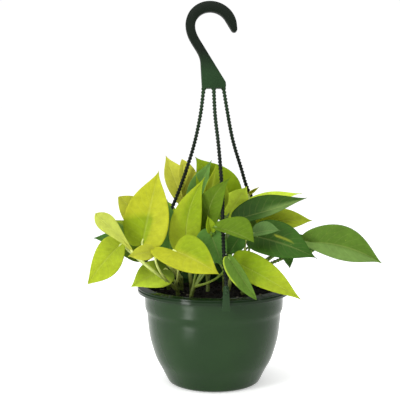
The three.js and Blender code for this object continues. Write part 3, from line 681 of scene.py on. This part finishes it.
# %% Leaf table
STEMS = [
    ("stem_front_left_neon", (-48, -14), (-50, -18, 134), [
        dict(base=(-102, -84, 187), tip=(-149, -80, 236), face=(0.3, 0.9, 0.35), width=28, belly=2.6,
             lean=0.1, point=0, drip=0, via=(-76, -58, 158), tone="lemon",
             marks=[("gold", 0.5, 0, 0.3, -1, 1, 0.2)]),
        dict(base=(-120, -42, 191), tip=(-160, -76, 146), face=(-0.3, -0.9, 0.35), width=48, arch=0.08,
             belly=1.05, lean=-0.12, skew=-0.43, drip=0.2, via=(-86, -53, 162), tone="chartreuse",
             marks=[("mid", 0.15, -0.2, 0.35, -1, 1, 0.3)]),
        dict(base=(-77, -84, 189), tip=(-108, -92, 184), face=(0, -0.95, 0.3), width=21, fold=16,
             via=(-73, -60, 152), tone="gold"),
        # Painted shade over nearly the whole blade, which lies low under the others.
        dict(base=(-64, -12, 154), tip=(-108, -52, 137), face=(0.1, -0.75, 0.65), width=46, lean=-0.15,
             tone="bright", marks=[("deep", 0.8, -0.5, 0.3, -1.6, 1.6, 0.25)]),
        # Painted shade on the lobe that stands up, out of the light from above.
        dict(base=(-52, -78, 189), tip=(5, -101, 163), face=(0.05, -0.72, 0.68), width=60, fold=16,
             arch=0.06, belly=0.76, lean=0.05, skew=0.25, drip=0.3, lobe=1, slant=0.75, via=(-43, -62, 169),
             tone="neon", marks=[("lime", 0.8, 0, 0.75, -1.3, -0.12, 0.3)]),
    ]),
    ("stem_left_neon", (-44, 20), (-44, 14, 138), [
        # Painted shadow over the blade's lower part, where a leaf behind blocks the light that shines through
        # it.
        dict(base=(-92, -62, 195), tip=(-71, -45, 287), face=(-0.1, -1, 0.2), width=60, arch=0.04,
             belly=0.78, skew=-0.08, via=(-55, -34, 164), tone="neon",
             marks=[("lime", 0.85, -0.2, 0.4, -1.2, 0.25, 0.1)]),
        dict(base=(-86, -6, 213), tip=(-126, -12, 250), face=(-0.1, -0.9, 0.4), width=42, point=0, drip=0.1,
             tone="gold"),
        dict(base=(-87, -22, 180), tip=(-125, -30, 177), face=(-0.1, -0.75, 0.6), width=32, lean=-0.2,
             tone="mid"),
    ]),
    ("stem_left_green", (-62, 32), (-66, 30, 140), [
        dict(base=(-97, 4, 186), tip=(-163, 22, 190), face=(0, -0.45, 0.9), width=40, belly=1,
             tone="green"),
        dict(base=(-91, -30, 195), tip=(-134, -36, 223), face=(0.1, -0.85, 0.5), width=28, lean=-0.1,
             tone="leaf", marks=[("chartreuse", 0.6, 0.3, 1.2, 0.2, 1.2, 0.4)]),
        dict(base=(-58, -18, 178), tip=(-62, -6, 246), face=(0, -1, 0.1), width=32, tone="blue"),
        dict(base=(-75, 44, 159), tip=(-48, 38, 134), face=(0, -0.9, 0.4), width=34, tone="shade"),
    ]),
    ("stem_centre_neon", (-30, 2), (-32, -2, 146), [
        # Painted shade on the half of the folded blade that turns away from the light.
        dict(base=(-35, -50, 183), tip=(-12, -48, 279), face=(0, -1, 0.05), width=42, sway=-0.1, belly=0.74,
             skew=-0.08, tone="chartreuse", marks=[("lime", 0.8, 0.3, 1.2, -0.4, 1.2, 0.5)]),
        dict(base=(-39, 44, 232), tip=(-65, 36, 301), face=(-0.2, -1, 0), width=42, belly=1.15, lean=0.35,
             skew=-0.15, tone="pale"),
        dict(base=(-36, 32, 225), tip=(-43, 27, 297), face=(0.1, -1, 0.1), width=27, belly=2, lean=0.45,
             point=0.3, drip=0, tone="pale"),
    ]),
    ("stem_centre_green", (-8, 12), (-8, 10, 152), [
        dict(base=(-28, 16, 241), tip=(-3, 8, 297), face=(-0.3, -0.95, 0), width=25, fold=18, lean=-0.1,
             tone="fresh"),
        dict(base=(21, 26, 235), tip=(-25, 14, 301), face=(0.1, -1, 0.1), width=60, arch=0.06, tone="lime"),
        dict(base=(-11, -24, 233), tip=(2, -22, 292), face=(0.3, -0.95, 0), width=38, fold=24, lean=0.35,
             tone="chartreuse", marks=[("mid", 0.6, 0, 1, 0.1, 1, 0.3)]),
        dict(base=(-7, -37, 208), tip=(20, -58, 279), face=(-0.3, -0.95, 0), width=37, fold=16, sway=-0.13,
             tone="mid"),
        dict(base=(19, 12, 223), tip=(44, 6, 262), face=(0.2, -0.95, 0.3), width=36, fold=8, belly=1,
             tone="bright"),
        dict(base=(-21, 42, 157), tip=(-53, 32, 134), face=(0, -0.9, 0.4), width=44, tone="shade"),
        dict(base=(-12, 0, 175), tip=(-17, -8, 229), face=(0, -1, 0.1), width=46, tone="leaf"),
    ]),
    ("stem_front_green", (-30, -24), (-26, -28, 134), [
        dict(base=(-5, -68, 211), tip=(-9, -72, 232), face=(0.3, -0.9, 0), width=15, fold=30,
             via=(4, -36, 190), tone="lime"),
        dict(base=(0, -72, 218), tip=(48, -94, 202), face=(0, -0.7, 0.7), width=33, arch=0.06, belly=1.15,
             lean=-0.62, skew=-0.3, drip=0.2, via=(6, -38, 200), tone="mid"),
        dict(base=(-7, -57, 213), tip=(10, -69, 169), face=(0, -0.95, 0.3), width=42, belly=1, lean=0.25,
             drip=0.3, tone="blue"),
        dict(base=(32, -54, 203), tip=(16, -62, 180), face=(0.1, -0.95, 0.3), width=25, tone="green"),
        dict(base=(49, -62, 208), tip=(82, -74, 214), face=(0, -0.6, 0.8), width=26, lean=-0.3,
             via=(14, -40, 190), tone="sage"),
        dict(base=(17, -94, 183), tip=(51, -110, 133), face=(-0.3, -0.85, 0.35), width=22, fold=26,
             lean=0.25, point=0.2, drip=0, via=(16, -70, 150), tone="leaf",
             marks=[("bright", 0.7, -0.2, 0.6, 0.88, 1.4, 0.12)]),
    ]),
    ("stem_right_neon", (16, -34), (20, -38, 140), [
        # Painted shadow over the half of the blade near its base, which the leaf above shades.
        dict(base=(24, -76, 175), tip=(107, -108, 132), face=(0.2, -0.82, 0.55), width=42, fold=8,
             arch=0.03, belly=0.75, lean=-0.1, tone="chartreuse",
             marks=[("lime", 1, -0.2, 0.5, -1.2, 1.2, 0.4)]),
    ]),
    ("stem_right_green", (38, -10), (42, -14, 146), [
        dict(base=(50, -42, 202), tip=(129, -72, 178), face=(0, -0.72, 0.7), width=59, fold=8, arch=0.06,
             belly=0.78, lean=-0.05, tone="deep", fleck=0.1,
             marks=[("gold", 0.85, 0.34, 0.6, -0.32, -0.22, 0.06),
                    ("green", 0.5, 0.45, 1.2, -1.2, 1.2, 0.4)]),
        dict(base=(116, -35, 193), tip=(215, -52, 168), face=(0, -0.8, 0.6), width=55, fold=22, arch=0.07,
             sway=-0.05, belly=1.15, tone="leaf", fleck=0.3,
             marks=[("pale_grey_green", 0.8, -0.2, 1.2, 0.1, 1.2, 0.3)]),
        dict(base=(94, -22, 182), tip=(99, -28, 157), face=(0.3, -0.9, 0.2), width=16, tone="green"),
        dict(base=(129, -12, 177), tip=(108, -16, 203), face=(0, -0.85, 0.5), width=20, tone="green"),
    ]),
    ("stem_right_back_lime", (38, 22), (42, 20, 148), [
        dict(base=(49, 20, 238), tip=(120, 34, 250), face=(0, -0.3, 0.95), width=32, arch=0.02,
             tone="bright"),
        dict(base=(48, 26, 250), tip=(61, 19, 260), face=(0, -1, 0.2), width=7, fold=50, tone="neon"),
        dict(base=(60, -4, 212), tip=(132, 6, 216), face=(0, -0.65, 0.75), width=42, fold=8, lean=-0.1,
             tone="chartreuse"),
    ]),
    ("stem_upper_right_green", (14, 2), (14, -4, 150), [
        # Painted shade near the base, and a painted sheen, pale grey-green, over the outer half.
        dict(base=(29, -30, 223), tip=(123, -6, 248), face=(0.1, -0.42, 0.9), width=46, arch=-0.02,
             belly=0.8, lean=-0.34, skew=-0.3, tone="deep",
             marks=[("shade", 0.4, -0.2, 0.4, -1.2, 1.2, 0.5), ("pale_grey_green", 0.7, 0.45, 1.2, -0.2, 1.2, 0.3)]),
        dict(base=(6, 26, 157), tip=(33, 14, 136), face=(0, -0.9, 0.4), width=35, fold=12, tone="shade"),
    ]),
    ("stem_back_left_neon", (-26, 44), (-28, 46, 142), [
        dict(base=(-74, 46, 190), tip=(-120, 66, 196), face=(-0.3, 0.1, 0.95), width=38, fold=14, arch=0.1,
             tone="lime"),
        dict(base=(-62, 54, 178), tip=(-105, 72, 160), face=(-0.3, 0.3, 0.9), width=38, fold=12, arch=0.12,
             tone="chartreuse"),
        dict(base=(-30, 74, 190), tip=(-50, 125, 162), face=(-0.1, 0.6, 0.8), width=46, fold=12, arch=0.12,
             tone="neon"),
        dict(base=(-60, 50, 206), tip=(-85, 85, 236), face=(-0.5, -0.3, 0.8), width=38, fold=14,
             tone="lime"),
        dict(base=(-16, 58, 215), tip=(-25, 82, 272), face=(-0.1, 0.9, -0.3), width=40, fold=14,
             tone="chartreuse"),
    ]),
    ("stem_back_right_green", (18, 48), (20, 50, 142), [
        dict(base=(2, 82, 182), tip=(12, 138, 150), face=(0.1, 0.6, 0.8), width=46, arch=0.12, tone="leaf"),
        dict(base=(36, 74, 192), tip=(60, 125, 184), face=(0.2, 0.5, 0.85), width=44, fold=12, arch=0.12,
             tone="green", fleck=0.5),
        dict(base=(54, 58, 176), tip=(98, 98, 170), face=(0.3, 0.3, 0.9), width=40, fold=12, arch=0.12,
             tone="deep"),
        dict(base=(18, 56, 212), tip=(34, 92, 256), face=(0.1, 0.8, -0.4), width=38, fold=14, tone="mid"),
        dict(base=(50, 54, 194), tip=(92, 84, 206), face=(0.2, -0.2, 0.95), width=36, fold=12, arch=0.08,
             tone="leaf"),
        dict(base=(44, 58, 216), tip=(74, 92, 226), face=(0.2, 0, 0.95), width=36, fold=12, arch=0.08,
             tone="green"),
    ]),
]
print("stems:", len(STEMS), "leaves:", sum(len(leaves) for _, _, _, leaves in STEMS))

# %% [markdown]
# ## How a blade is shaped
#
# A blade could be sculpted or cut from a picture, but 49 of them are better as one formula. The formula
# takes a place on the blade, t along and s across, and gives a point: the outline is a heart with a drip
# tip, and the fold, the arch and the sway bend it. Finer forms are added to it: a groove over the midrib, a
# quilted rise between the side veins, and a gentle wave along the edge.

# %% Blade surface
BLADE_ACROSS = 22
BLADE_ALONG = 34
BLADE_THICKNESS = 0.55
MERGE = 0.12
NEARBY = 0.01
GROOVE = 0.09
QUILTING = 0.16
QUILTS = 9
EDGE_WAVE = 0.014


def blade_surface(leaf, phase):
    """The blade's middle surface in mm, as a function of t and s. phase shifts the waves of its edge."""
    base = Vector(leaf["base"])
    along = Vector(leaf["tip"]) - base
    length = along.length
    along.normalize()
    face = Vector(leaf["face"])
    face = (face - along * face.dot(along)).normalized()
    side = along.cross(face)
    width, belly, lobe = leaf["width"], leaf.get("belly", 0.85), leaf.get("lobe", 0.5)
    lift = math.radians(leaf.get("fold", 10))
    arch, sway = leaf.get("arch", 0.05), leaf.get("sway", 0)
    lean, skew, slant = leaf.get("lean", 0), leaf.get("skew", 0), leaf.get("slant", 0)
    point, drip = leaf.get("point", 0.4), leaf.get("drip", 0.6)
    wave = EDGE_WAVE * width

    def at(t, s):
        hand = (s > 0) - (s < 0)
        round_part = math.sin(math.pi * t ** (belly * (1 + skew * hand))) if 0 < t < 1 else 0
        swell = round_part ** (0.75 + drip * t ** 3) * (1 - point * t ** 4)
        half = width / 2 * (1 + lean * hand) * swell
        spread = abs(s)
        fold = math.sqrt(spread ** 2 + GROOVE ** 2) - GROOVE
        out = half * s * math.cos(lift)
        up = half * fold * math.sin(lift)
        rows = math.cos(2 * math.pi * QUILTS * (t - VEIN_SLANT * spread))
        quilt = rows * math.sin(math.pi * min(spread * 1.2, 1))
        ripple = math.sin(2 * math.pi * (1.6 * t + (0.37 if s > 0 else 0) + phase)) * min(1, 8 * t)
        up += QUILTING * quilt * half / 20 + wave * spread ** 3 * ripple
        bow = 4 * t * (1 - t) * length
        onward = t - lobe * math.sqrt(t) * (1 - t) ** 2 * (spread + slant * s)
        return base + along * (length * onward) + side * (out + sway * bow) + face * (up + arch * bow)

    return at


def soft_step(value, low, high, soft):
    """1 between low and high, 0 outside, with soft edges."""
    rise = min(max((value - low) / soft + 0.5, 0), 1)
    fall = min(max((high - value) / soft + 0.5, 0), 1)
    return rise * rise * (3 - 2 * rise) * fall * fall * (3 - 2 * fall)


def blade_colour(leaf, t, s):
    """The leaf's tone with its marks, and how strongly it is flecked in the fourth value."""
    colour = Vector(linear(PALETTE[leaf["tone"]]))
    colour *= 1 + 0.1 * (abs(s) - 0.4) + 0.06 * (t - 0.5)
    for tone, strength, t0, t1, s0, s1, soft in leaf.get("marks", ()):
        share = strength * soft_step(t, t0, t1, soft) * soft_step(s, s0, s1, soft)
        colour = colour.lerp(Vector(linear(PALETTE[tone])), share)
    return (*colour, leaf.get("fleck", 0))


def blade_normal(surface, t, s):
    """The direction that the upper face looks in, worked out from four points close by."""
    t = min(max(t, 3 * NEARBY), 1 - 3 * NEARBY)
    across = surface(t, min(s + NEARBY, 1)) - surface(t, max(s - NEARBY, -1))
    onward = surface(t + NEARBY, s) - surface(t - NEARBY, s)
    return across.cross(onward).normalized()


def add_blade(bm, leaf, surface):
    """One blade: a bent grid for its upper face, which is then extruded down to its lower face."""
    colour = bm.verts.layers.float_color["leaf_colour"]
    upward = bm.verts.layers.float_vector["upward"]
    cells = []

    def place(u, v):
        t = 0.5 - 0.5 * math.cos(math.pi * v)
        s = 2 * u - 1
        cells.append((t, s, blade_normal(surface, t, s)))
        return (surface(t, s) + cells[-1][2] * BLADE_THICKNESS / 2) * MM

    verts = bent_grid(bm, BLADE_ACROSS, BLADE_ALONG, place)
    for vert, (t, s, normal) in zip(verts, cells):
        vert[colour] = blade_colour(leaf, t, s)
        vert[upward] = normal
    bmesh.ops.remove_doubles(bm, verts=verts, dist=MERGE * MM)
    faces = list({f for v in verts if v.is_valid for f in v.link_faces})
    grown = bmesh.ops.extrude_face_region(bm, geom=faces)["geom"]
    for vert in (g for g in grown if isinstance(g, bmesh.types.BMVert)):
        vert.co -= vert[upward] * BLADE_THICKNESS * MM


print("blade cells:", BLADE_ACROSS * BLADE_ALONG)

# %% [markdown]
# ## Petioles and stems
#
# A petiole climbs from the stem, leans over and swells a little where it meets the blade. Its foot wraps
# the stem, so it is thickest there. The stem is a short cutting with a ring at each node. Both are tubes
# along the same curves as the solids in the frame, so they carry the blades where the frame does. Stalks
# are darker near the soil, a painted shade under the leaves, and paler higher up, so each tube's colour is
# written on its mesh by height.

# %% Shapes of petioles and stems
STEM_RADIUS = 2.8
STEM_DEPTH = 14
STEM_LENGTH = 34
NODE_SPACING = 9
PETIOLE_RADIUS = 1.6
KNEE_AT = 0.78


def petiole_curve(leaf, surface, start):
    """From the stem, past a bend that via may steer, to the blade and a little way along its midrib."""
    base = Vector(leaf["base"])
    bend = Vector(leaf["via"]) if "via" in leaf else Vector(
        (start.x + (base.x - start.x) * 0.45, start.y + (base.y - start.y) * 0.45,
         start.z + (base.z - start.z) * 0.75))
    climb = [start * (1 - t) ** 2 + bend * 2 * t * (1 - t) + base * t * t for t in (0, 0.25, 0.5, 0.75, 1)]
    return spline([*climb, surface(0.07, 0)])


def petiole_radius(t):
    foot = 0.55 * max(0, 1 - t / 0.25) ** 2
    knee = 0.16 * math.exp(-((t - KNEE_AT) / 0.05) ** 2)
    return PETIOLE_RADIUS * (0.92 + foot + knee - 0.45 * max(0, (t - 0.8) / 0.2) ** 2)


def stem_radius(t):
    return STEM_RADIUS * (0.95 + 0.12 * max(0, math.cos(2 * math.pi * t * STEM_LENGTH / NODE_SPACING)) ** 6)


print("petiole radius at foot and knee:", [round(petiole_radius(t), 2) for t in (0, KNEE_AT)])


# %% Build the leafy stems
TINT_FROM = 4
TINT_HEIGHT = 45


def tint(bm, verts, low, high):
    """Colours a stalk from one tone near the soil to another higher up."""
    layer = bm.verts.layers.float_color["leaf_colour"]
    low, high = Vector(linear(PALETTE[low])), Vector(linear(PALETTE[high]))
    for vert in verts:
        height = min(max((vert.co.z / MM - SOIL_TOP - TINT_FROM) / TINT_HEIGHT, 0), 1)
        vert[layer] = (*low.lerp(high, height), 0)


for order, (name, at, top, leaves) in enumerate(STEMS):
    bm = bmesh.new()
    bm.loops.layers.uv.new("leaf_map")
    bm.verts.layers.float_color.new("leaf_colour")
    bm.verts.layers.float_vector.new("upward")
    neon = name.endswith(("neon", "lime"))
    surfaces = [blade_surface(leaf, 0.31 * number + 0.17 * order) for number, leaf in enumerate(leaves)]
    for leaf, surface in zip(leaves, surfaces):
        add_blade(bm, leaf, surface)
    blade_faces = set(bm.faces)
    stem = spline([(*at, SOIL_TOP - STEM_DEPTH + CLEARANCE), (*at, SOIL_TOP + SOIL_CROWN + 1), top])
    # Stems and petioles darken towards the soil: a painted shade under the leaves.
    tint(bm, tube(bm, stem, stem_radius, 14, 40), "stem", "stalk_shade")
    for number, (leaf, surface) in enumerate(zip(leaves, surfaces)):
        start = stem(0.62 + 0.34 * (number + 1) / len(leaves))
        curve = petiole_curve(leaf, surface, start)
        tint(bm, tube(bm, curve, petiole_radius, 10, 26), "stalk_shade", "stalk" if neon else "mid")
    close_ends(bm)
    for face in bm.faces:
        face.material_index = 0 if face in blade_faces else 1
    bm.verts.layers.float_vector.remove(bm.verts.layers.float_vector["upward"])
    plant = piece(bm, name.replace("stem_", "plant_"), [leaf_skin, stalk_skin])
    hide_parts(name)

# %% [markdown]
# ## Floor and light
#
# The studio is white all round. A pale floor and a white surround give the even light, and one large soft
# light from above makes the leaves glow. A window at the left front and a weak fill at the right shape the
# pot. Its narrow sheen comes from a dim strip that lies on the floor in front. A light there would also
# brighten the leaves from below, so only reflections see it.

# %% Floor
FLOOR_SIDE = 60
floor_finish = Finish("floor_white")
floor_shader = floor_finish.add("BsdfPrincipled", Base_Color=(0.92, 0.92, 0.92))
floor_shader.inputs["Roughness"].default_value = 0.7
floor_shader.inputs["Emission Color"].default_value = (1, 1, 1, 1)
floor_shader.inputs["Emission Strength"].default_value = 0.4
floor_finish.finish(floor_shader.outputs[0])
floor_mesh = bmesh.new()
bmesh.ops.create_grid(floor_mesh, x_segments=1, y_segments=1, size=FLOOR_SIDE / 2)
floor_data = bpy.data.meshes.new("floor")
floor_mesh.to_mesh(floor_data)
floor_mesh.free()
floor_data.materials.append(floor_finish.material)
floor = bpy.data.objects.new("floor", floor_data)
floor.location = (0, 0, -0.0005)
bpy.context.scene.collection.objects.link(floor)
print("floor side:", FLOOR_SIDE, "m")


# %% Lights
STRIP_AT = (-0.302, -0.386, 0.004)
STRIP_BEARING = math.radians(-38)


def soft_light(name, place, size, power, aim=(0, 0, 0.15)):
    data = bpy.data.lights.new(name, "AREA")
    data.shape = "RECTANGLE"
    data.size, data.size_y = size
    data.energy = power
    made = bpy.data.objects.new(name, data)
    made.location = place
    made.rotation_euler = (Vector(aim) - Vector(place)).to_track_quat("-Z", "Y").to_euler()
    bpy.context.scene.collection.objects.link(made)
    return made


soft_light("left_window", (-1.1, -1.15, 0.6), (0.3, 1.0), 20)
strip = soft_light("sheen_strip", STRIP_AT, (0.08, 0.42), 1.3)
strip.rotation_euler = (math.pi, 0, STRIP_BEARING)
strip.visible_diffuse = False
strip.visible_transmission = False
strip.visible_camera = False
soft_light("overhead", (-0.2, -0.25, 1.9), (1.6, 1.6), 28)
soft_light("right_fill", (1.5, -0.7, 0.7), (0.5, 1.2), 5, aim=(0, 0, 0.2))

# %% [markdown]
# ## The white surround
#
# The camera sees an even white. What lights the plant is a second background that is brighter above than
# below, as in a room with a white ceiling, so that the undersides keep some shade.

# %% Surround
world = bpy.data.worlds.new("studio")
bpy.context.scene.world = world
world.use_nodes = True
tree = world.node_tree
seen = tree.nodes["Background"]
seen.inputs["Color"].default_value = (1, 1, 1, 1)
seen.inputs["Strength"].default_value = 1.02
shed = tree.nodes.new("ShaderNodeBackground")
height = tree.nodes.new("ShaderNodeSeparateXYZ")
tree.links.new(tree.nodes.new("ShaderNodeTexCoord").outputs["Generated"], height.inputs[0])
strength = tree.nodes.new("ShaderNodeMapRange")
for name, value in {"From Min": -0.1, "From Max": 0.9, "To Min": 0.32, "To Max": 1.05}.items():
    strength.inputs[name].default_value = value
tree.links.new(height.outputs["Z"], strength.inputs[0])
tree.links.new(strength.outputs[0], shed.inputs["Strength"])
choice = tree.nodes.new("ShaderNodeMixShader")
tree.links.new(tree.nodes.new("ShaderNodeLightPath").outputs["Is Camera Ray"], choice.inputs[0])
tree.links.new(shed.outputs[0], choice.inputs[1])
tree.links.new(seen.outputs[0], choice.inputs[2])
tree.links.new(choice.outputs[0], tree.nodes["World Output"].inputs["Surface"])
bpy.context.scene.view_settings.view_transform = "Standard"
print("world:", world.name)
